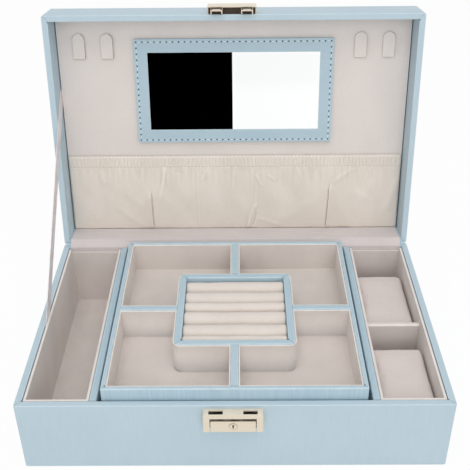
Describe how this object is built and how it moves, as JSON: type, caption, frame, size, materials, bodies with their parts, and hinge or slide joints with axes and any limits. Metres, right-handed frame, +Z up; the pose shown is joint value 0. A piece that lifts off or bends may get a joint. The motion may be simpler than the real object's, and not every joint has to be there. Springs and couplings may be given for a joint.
{
  "type": "vanity box with mirror",
  "caption": "Leather-covered vanity and jewellery box with a mirror and pocket in the lid, a lift-out tray with ring rolls, a watch compartment and a press lock.",
  "frame": {"origin": "centre of the base's underside", "axes": "+X to the right seen from the front, +Y to the back, where the hinge is, +Z up"},
  "size_m": [0.285, 0.2532, 0.248],
  "materials": {
    "board": "plain fibreboard",
    "foam": "open foam",
    "blue_leather": "pale blue, fine brushed grain, low sheen",
    "blue_trim": "pale blue, fine grain, low sheen",
    "grey_flock": "flocked paper",
    "cream_velvet": "short cream pile",
    "satin": "soft suede cloth",
    "elastic": "woven elastic",
    "ribbon": "woven satin",
    "pale_gold": "pale champagne plating, satin",
    "dark_core": "matte",
    "steel": "satin",
    "mirror": "polished"
  },
  "bodies": {
    "base": {"floor_board": "board", "front_board": "board", "back_board": "board", "left_board": "board", "right_board": "board", "base_leather": "blue_leather", "bottom_cover": "grey_flock", "left_liner": "cream_velvet", "right_liner": "cream_velvet", "bay_liner": "cream_velvet", "left_divider": "blue_trim", "right_divider": "blue_trim", "watch_divider": "cream_velvet", "lock_case": "pale_gold", "lock_back_plate": "steel", "lock_screws": "pale_gold", "lock_spring": "steel", "lock_pivot_pin": "steel", "stay_ribbon": "ribbon", "hinge_strip": "blue_leather", "hinge_lining": "cream_velvet"},
    "lid": {"lid_top_board": "board", "lid_front_board": "board", "lid_back_board": "board", "lid_left_board": "board", "lid_right_board": "board", "lid_leather": "blue_leather", "lid_padding": "foam", "lid_panel": "cream_velvet", "mirror_frame": "blue_trim", "mirror_glass": "mirror", "mirror_backing": "board", "necklace_tabs": "cream_velvet", "pocket_cloth": "satin", "pocket_elastic": "elastic", "hasp_cover": "pale_gold", "hasp_core": "dark_core", "hasp_catches": "pale_gold", "hasp_rivets": "pale_gold"},
    "lock_button": {"press_plate": "pale_gold", "press_hooks": "steel"},
    "key": {"key_barrel": "pale_gold"},
    "tray": {"tray_walls": "blue_trim", "tray_floor": "cream_velvet", "tray_rear_arm": "blue_trim", "tray_front_arm": "blue_trim", "tray_left_arm": "blue_trim", "tray_right_arm": "blue_trim", "ring_frame": "blue_trim", "ring_bed": "foam", "ring_rolls": "cream_velvet", "rear_left_lining": "cream_velvet", "rear_right_lining": "cream_velvet", "front_left_lining": "cream_velvet", "front_right_lining": "cream_velvet"},
    "pillow_rear": {"pillow_rear": "cream_velvet"},
    "pillow_front": {"pillow_front": "cream_velvet"}
  },
  "joints": [
    {"name": "lid_hinge", "type": "hinge", "parent": "base", "child": "lid", "pos_m": [0, 0.0935, 0.057], "axis": [-1, 0, 0], "range_deg": [-98.3, 0], "deforming": ["stay_ribbon", "hinge_strip", "hinge_lining"]},
    {"name": "button_press", "type": "hinge", "parent": "base", "child": "lock_button", "pos_m": [-0.001, -0.0965, 0.0412], "axis": [-1, 0, 0], "range_deg": [0, 7], "stiffness_Nm_per_rad": 0.2, "springref_deg": -2.86, "deforming": ["lock_spring"]},
    {"name": "key_turn", "type": "hinge", "parent": "lock_button", "child": "key", "pos_m": [-0.001, -0.0965, 0.0448], "axis": [0, 1, 0], "range_deg": [-90, 0]},
    {"name": "tray_lift", "type": "slide", "parent": "base", "child": "tray", "axis": [0, 0, 1], "range_m": [0, 0.04]},
    {"name": "pillow_rear_lift", "type": "slide", "parent": "base", "child": "pillow_rear", "axis": [0, 0, 1], "range_m": [0, 0.055]},
    {"name": "pillow_front_lift", "type": "slide", "parent": "base", "child": "pillow_front", "axis": [0, 0, 1], "range_m": [0, 0.055]}
  ]
}
